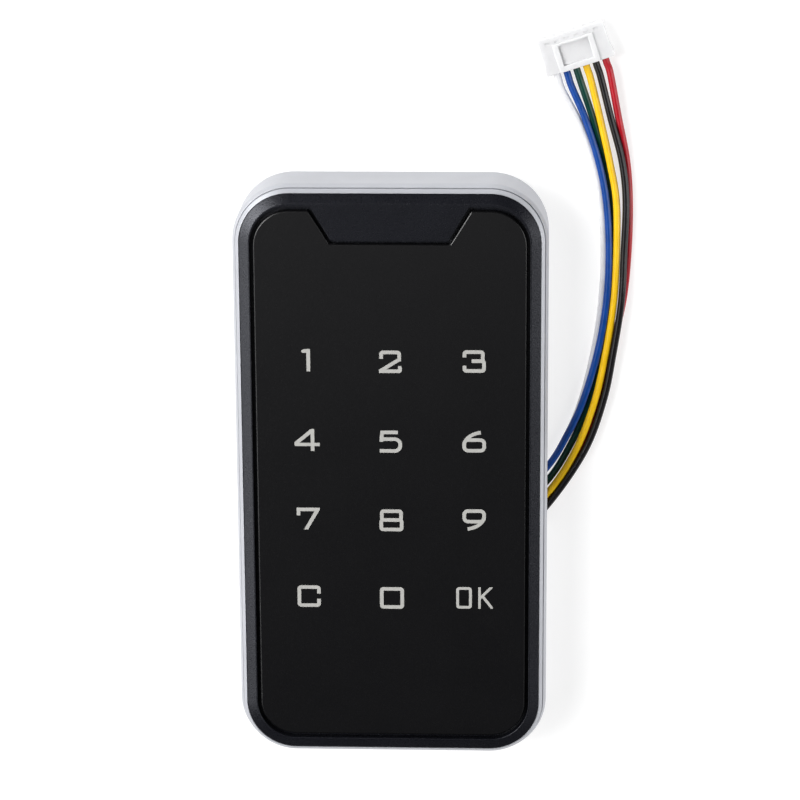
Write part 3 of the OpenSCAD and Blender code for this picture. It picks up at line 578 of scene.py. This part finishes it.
def add_rear_case():
    """The back shell: rounded walls, a floor with the wiring recess behind it, and the chamber
    that the wires leave."""
    shelf = 1.3
    wall_profile = [
        (WALL, 0, 0), (0, 0, 1.1), (0, Z_SEAM - 1.8, 2.4), (0.74, Z_SEAM, 0.12),
        (0.86, Z_SEAM - 0.3, 0.05), (1.3, Z_SEAM - 0.3, 0.05), (1.3, Z_SEAM, 0), (WALL, Z_SEAM, 0),
        (WALL, Z_GASKET, 0), (WALL + shelf, Z_GASKET, 0), (WALL + shelf, Z_GASKET - 1, 0),
        (WALL, Z_GASKET - 1 - shelf, 0)]
    walls = swept_ring(BODY_W / 2, BODY_H / 2, CORNER_R, wall_profile)
    plate = fillet(rectangle(BODY_W / 2 - WALL / 2, BODY_H / 2 - WALL / 2, -BODY_H / 2 + WALL / 2,
                             CORNER_R - WALL / 2), 24)
    chamber_half = GLAND_HALF + 2
    insert_post_r, screw_post_r = 4.5, 2.6
    screw_hole_r, case_screw_hole_r = 1.1, 1.4
    plunger_hole_r, plunger_well_r = 1.56, 2.6
    added = [solid_prism(plate, Z_FLOOR, Z_INSIDE),
             solid_box((0.9, GLAND_Y - chamber_half, 0.2), (10.9, GLAND_Y + chamber_half, Z_FLOOR + 1))]
    added += [solid_round(0, y, insert_post_r, 0, Z_INSIDE + 0.9) for y in INSERT_YS]
    added += [solid_round(x, y, screw_post_r, Z_FLOOR + 1, BOARD_Z) for x, y in MAIN_SCREWS]
    openings = [solid_box((2.5, GLAND_Y - 8, GLAND_BOTTOM), (GLAND_WALL_X, GLAND_Y + 8, Z_INSIDE + 1)),
                solid_box((8, GLAND_Y - GLAND_HALF, GLAND_BOTTOM), (11.5, GLAND_Y + GLAND_HALF, Z_FLOOR)),
                solid_box((BODY_W / 2 - WALL - 1, NOTCH_LOW_Y, -1), (BODY_W / 2 + 1, NOTCH_HIGH_Y, NOTCH_H))]
    holes = [solid_round(0, y, INSERT_R, -1, 6) for y in INSERT_YS]
    holes += [solid_round(x, y, screw_hole_r, Z_FLOOR + 0.6, BOARD_Z + 1) for x, y in MAIN_SCREWS]
    holes += [solid_round(x, y, case_screw_hole_r, Z_FLOOR - 1, Z_INSIDE + 1) for x, y in CASE_SCREWS]
    holes += [solid_round(TAMPER_X, TAMPER_Y, plunger_hole_r, Z_FLOOR - 1, Z_INSIDE + 1),
              solid_round(TAMPER_X, TAMPER_Y, plunger_well_r, Z_FLOOR + 0.8, Z_INSIDE + 1)]
    shell = softened(combine(walls, added, openings), 0.18)
    return finish_mesh(combine(shell, [], holes), "rear_shell", "silver")


rear_shell = add_rear_case()
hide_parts("rear_case")


# ------------------------------------------------------------------ bezel and panel

def opening_corners(inset, corner_r, notch_r):
    """The bezel's opening with its tab, brought in by inset all round."""
    side = inset * math.sqrt(1 + TAB_SLANT ** 2)
    top, low = OPENING_TOP - inset, TAB_BOTTOM - inset
    half_low = TAB_HALF + (low - TAB_BOTTOM) * TAB_SLANT + side
    half_top = TAB_HALF + (top - TAB_BOTTOM) * TAB_SLANT + side
    half_w = OPENING_HALF_W - inset
    bottom = OPENING_BOTTOM + inset
    return [(-half_w, bottom, corner_r), (half_w, bottom, corner_r), (half_w, top, corner_r),
            (half_top, top, notch_r), (half_low, low, notch_r), (-half_low, low, notch_r),
            (-half_top, top, notch_r), (-half_w, top, corner_r)]


def add_bezel():
    neck = 3.2 - RIM_W + 0.1
    z_flange = Z_SEAM + 0.9
    edge_r = 0.14
    bm = bmesh.new()
    outer = fillet(rectangle(BLACK_W / 2, BLACK_H / 2, -BLACK_H / 2, BLACK_R), 24)
    profile = [Vector(p) for p in (
        (neck, Z_LEDGE), (neck, z_flange), (0, z_flange), (0, BODY_T - SLOPE_DROP - 0.15),
        (0.05, BODY_T - SLOPE_DROP - 0.04), (0.16, BODY_T - SLOPE_DROP + 0.05),
        (SLOPE_W - 0.16, BODY_T - 0.05), (SLOPE_W - 0.08, BODY_T - 0.028),
        (SLOPE_W, BODY_T - 0.011), (SLOPE_W + 0.08, BODY_T))]
    outer_rings = [ring_at(bm, offset(outer, p.x), p.y) for p in profile]
    for lower, upper in zip(outer_rings, outer_rings[1:]):
        bridge(bm, lower, upper)
    opening = fillet(opening_corners(0, OPENING_R, 0.8), 16)
    inner_profile = [(-edge_r * (1 - math.sin(a)), BODY_T - edge_r * (1 - math.cos(a)))
                     for a in (math.pi / 8 * k for k in range(5))]
    inner_rings = [ring_at(bm, offset(opening, inset), z) for inset, z in inner_profile]
    inner_rings.append(ring_at(bm, opening, Z_LEDGE_TOP))
    for upper, lower in zip(inner_rings, inner_rings[1:]):
        bridge(bm, lower, upper)
    ledge = fillet(opening_corners(3, OPENING_R - 3, 1.5), 16)
    ledge_rings = [ring_at(bm, ledge, Z_LEDGE_TOP), ring_at(bm, ledge, Z_LEDGE)]
    bridge(bm, ledge_rings[1], ledge_rings[0])
    fill_between(bm, outer_rings[-1], inner_rings[0])
    fill_between(bm, inner_rings[-1], ledge_rings[0])
    fill_between(bm, outer_rings[0], ledge_rings[1])
    boss_r, boss_bore_r = 3, 1.25
    post_r, post_bore_r = 1.6, 0.8
    added = [solid_round(x, y, boss_r, Z_INSIDE, Z_LEDGE + 0.5) for x, y in CASE_SCREWS]
    added += [solid_round(x, y, post_r, Z_TOUCH_TOP, Z_LEDGE + 0.2) for x, y in TOUCH_SCREWS]
    cut = [solid_round(x, y, boss_bore_r, Z_INSIDE - 1, Z_INSIDE + 8) for x, y in CASE_SCREWS]
    cut += [solid_round(x, y, post_bore_r, Z_TOUCH_TOP - 1, Z_LEDGE_TOP - 0.3) for x, y in TOUCH_SCREWS]
    return finish_mesh(combine(bm, added, cut), "bezel_shell", "bezel")


bezel = add_bezel()
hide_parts("bezel")


def panel_corners():
    """The opening's corners brought in by the groove, which is a little wider at the panel's ends."""
    bottom_shift, top_shift, tab_shift = 0.1, -0.3, -0.05
    corners = []
    for x, y, radius in opening_corners(PANEL_GAP, OPENING_R - PANEL_GAP, 0.7):
        if y < 0:
            shift = bottom_shift
        elif y > TAB_BOTTOM:
            shift = top_shift
        else:
            shift = tab_shift
        corners.append((x, y + shift, radius))
    return corners


def add_panel():
    edge_r = 0.5
    bm = bmesh.new()
    outline = fillet(panel_corners(), 16)
    profile = [(0.1, Z_PANEL), (0, Z_PANEL + 0.1)]
    profile += [(edge_r * (1 - math.cos(a)), Z_PANEL_TOP - edge_r * (1 - math.sin(a)))
                for a in (math.pi / 8 * k for k in range(5))]
    rings = [ring_at(bm, offset(outline, inset), z) for inset, z in profile]
    for lower, upper in zip(rings, rings[1:]):
        bridge(bm, lower, upper)
    bm.faces.new(rings[-1])
    bm.faces.new(list(reversed(rings[0])))
    return finish_mesh(bm, "touch_panel_sheet", "panel")


panel = add_panel()
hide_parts("touch_panel")


# ------------------------------------------------------------------ plug and back fittings

def in_plug_frame(bm):
    """Turns a shape drawn in the plug's own frame to where the plug lies."""
    place = Matrix.Translation((PLUG_X * MM, PLUG_Y * MM, 0)) @ Matrix.Rotation(PLUG_TURN, 4, "Z")
    bmesh.ops.transform(bm, matrix=place, verts=bm.verts)
    return bm


def add_plug():
    """The crimp housing: a block with a raised middle, a pocket in that, and room for the contacts."""
    half, ear, rib_x, rib_half = PLUG_W / 2, 0.4, 4.5, 0.65
    rib_l, top, sunk = PLUG_L - 2, PLUG_T + PLUG_RIB, PLUG_T - 0.4
    outline = [Vector(p) for p in (
        (-half - ear, 0), (half + ear, 0), (half + ear, 1.3), (half, 3), (half, PLUG_L),
        (-half, PLUG_L), (-half, 3), (-half - ear, 1.3))]
    body = solid_prism(outline, 0, PLUG_T)
    ribs = solid_box((-rib_x - rib_half, 0, 1), (rib_x + rib_half, rib_l, top))
    slot_half, pin_half, window_half, above = 0.85, 0.45, 0.6, 9
    contacts = [contact_x(i) for i in range(CONTACTS)]
    cut = [solid_bar((x, -1, WIRE_Z), "Y", 3.5, 1) for x in contacts]
    cut += [solid_box((x - slot_half, 2.4, WIRE_Z - 1), (x + slot_half, PLUG_L - 0.5, WIRE_Z + 1))
            for x in contacts]
    cut += [solid_box((x - pin_half, PLUG_L - 1, WIRE_Z - pin_half),
                      (x + pin_half, PLUG_L + 1, WIRE_Z + pin_half)) for x in contacts]
    cut += [solid_box((x - window_half, PLUG_L - 1.7, PLUG_T - 0.18),
                      (x + window_half, PLUG_L - 1.1, above)) for x in contacts]
    cut.append(solid_box((-rib_x + rib_half, 1.4, sunk), (rib_x - rib_half, rib_l - 0.6, above)))
    return finish_mesh(in_plug_frame(combine(body, [ribs], cut)), "plug_shell", "nylon", soft_edge=0.12)


plug_shell = add_plug()
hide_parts("plug_housing")


def add_inserts():
    """Brass inserts: turned rings with a threaded bore."""
    thread = []
    turns, thread_z, thread_l = 9, 0.6, 4.8
    for i in range(turns):
        z = thread_z + i * thread_l / turns
        thread += [(INSERT_BORE_R, z, 0), (INSERT_BORE_R + 0.22, z + 0.27, 0)]
    profile = [(INSERT_R - 0.02, 6, 0.15), (INSERT_BORE_R + 0.3, 6, 0), (INSERT_BORE_R, 5.7, 0)]
    profile += list(reversed(thread)) + [
        (INSERT_BORE_R, 0.35, 0), (INSERT_BORE_R + 0.35, 0, 0), (INSERT_R - 0.02, 0, 0.15)]
    one, two = (lathe(0, y, profile) for y in INSERT_YS)
    return finish_mesh(combine(one, [two], []), "threaded_inserts", "brass")


def add_case_screws():
    """Pan-head screws with a cross recess, driven from the back."""
    z_head = Z_FLOOR - 1.6
    profile = [(1.2, z_head, 0), (2.3, z_head, 0.75), (2.3, Z_FLOOR, 0), (1.25, Z_FLOOR, 0),
               (1.25, Z_FLOOR + 8.7, 0), (0.6, Z_FLOOR + 9.5, 0)]
    cross_half_l, cross_half_w, cross_depth = 1.3, 0.28, 0.8
    screws = []
    recess = []
    for x, y in CASE_SCREWS:
        screws.append(turned(x, y, profile))
        for half_x, half_y in ((cross_half_l, cross_half_w), (cross_half_w, cross_half_l)):
            recess.append(solid_box((x - half_x, y - half_y, z_head - 1),
                                    (x + half_x, y + half_y, z_head + cross_depth)))
    return finish_mesh(combine(screws[0], screws[1:], recess), "pan_screws", "steel")


def add_plunger():
    tip = Z_FLOOR - 2 - TAMPER_TRAVEL
    seat = Z_FLOOR + 0.8
    pin_top = Z_LEDGE - 1.8 - 3.4
    profile = [(0.7, tip, 0), (1.5, tip, 0.6), (1.5, seat, 0), (2.4, seat, 0.12),
               (2.4, seat + 0.8, 0.12), (1, seat + 0.8, 0), (1, pin_top, 0.25), (0.5, pin_top, 0)]
    return finish_mesh(turned(TAMPER_X, TAMPER_Y, profile), "plunger_button", "plunger", body="plunger")


def add_gland():
    """Rubber comb with a bore for each wire."""
    flange_x, flange_half = GLAND_FACE_X - 1.2, GLAND_HALF + 0.6
    block = solid_box((GLAND_WALL_X, GLAND_Y - GLAND_HALF, GLAND_BOTTOM),
                      (flange_x + 0.5, GLAND_Y + GLAND_HALF, Z_FLOOR))
    flange = solid_box((flange_x, GLAND_Y - flange_half, GLAND_BOTTOM - 0.6),
                       (GLAND_FACE_X, GLAND_Y + flange_half, Z_FLOOR))
    bores = [solid_bar((GLAND_WALL_X - 1, comb_y(place), WIRE_Z), "X", 8, WIRE_D / 2 + 0.05)
             for place in range(CONTACTS)]
    return finish_mesh(combine(block, [flange], bores), "rubber_comb", "rubber", soft_edge=0.2)


for piece, cad_name, slot_name in (
        (add_inserts(), "mounting_inserts", "brass"), (add_case_screws(), "case_screws", "steel"),
        (add_plunger(), "tamper_plunger", "plunger_red"), (add_gland(), "cable_gland", "rubber")):
    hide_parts(cad_name)


# ------------------------------------------------------------------ floor and light

def add_floor():
    """A pale sheet that glows a little, so that the shadows on it stay pale."""
    material, tree, shader = node_material("floor_pale")
    grain = add_noise(tree, 40, 3)
    tree.links.new(mix_colour(tree, grain, (0.35, 0.35, 0.35), (0.38, 0.38, 0.38)),
                   shader.inputs["Base Color"])
    tree.links.new(spread(tree, grain, 0.7, 0.8), shader.inputs["Roughness"])
    shader.inputs["Specular IOR Level"].default_value = 0.2
    shader.inputs["Emission Color"].default_value = (1, 1, 1, 1)
    shader.inputs["Emission Strength"].default_value = 0.72
    mesh = bpy.data.meshes.new("floor")
    half = 3.0
    mesh.from_pydata([(-half, -half, 0), (half, -half, 0), (half, half, 0), (-half, half, 0)],
                     [], [(0, 1, 2, 3)])
    mesh.materials.append(material)
    floor = bpy.data.objects.new("floor", mesh)
    floor.location.z = -0.05 * MM
    bpy.context.scene.collection.objects.link(floor)


LIGHT_DISTANCE = 1.2


def add_soft_box(name, azimuth, elevation, power, size=0.5):
    """A square soft box that faces the reader; azimuth runs anticlockwise from +X."""
    a, e = math.radians(azimuth), math.radians(elevation)
    toward = Vector((math.cos(a) * math.cos(e), math.sin(a) * math.cos(e), math.sin(e)))
    data = bpy.data.lights.new(name, "AREA")
    data.size = size
    data.energy = power
    light = bpy.data.objects.new(name, data)
    light.location = toward * LIGHT_DISTANCE
    light.rotation_euler = (-toward).to_track_quat("-Z", "Y").to_euler()
    bpy.context.scene.collection.objects.link(light)


def add_world():
    """A dark room with a pale wall low down, so that level views have a pale background."""
    world = bpy.data.worlds.new("studio")
    world.use_nodes = True
    tree = world.node_tree
    background = tree.nodes["Background"]
    place = tree.nodes.new("ShaderNodeTexCoord")
    split = tree.nodes.new("ShaderNodeSeparateXYZ")
    tree.links.new(place.outputs["Generated"], split.inputs["Vector"])
    wall = spread(tree, split.outputs["Z"], 1.0, 0.0, at=(0.12, 0.36))
    tree.links.new(wall, background.inputs["Color"])
    background.inputs["Strength"].default_value = 1.34
    bpy.context.scene.world = world


add_floor()
add_soft_box("key", 160, 48, 6.9)
add_soft_box("key_high", 161, 62, 4.6, 0.28)
add_soft_box("key_side", 200, 48, 3)
add_soft_box("corner_low", 135, 22, 5.8)
add_soft_box("right", 0, 48, 3)
add_soft_box("right_low", 0, 22, 3.3)
add_soft_box("front_right", 315, 48, 0.4)
add_soft_box("overhead", 0, 90, 0.25)
add_world()
bpy.context.scene.view_settings.view_transform = "Standard"
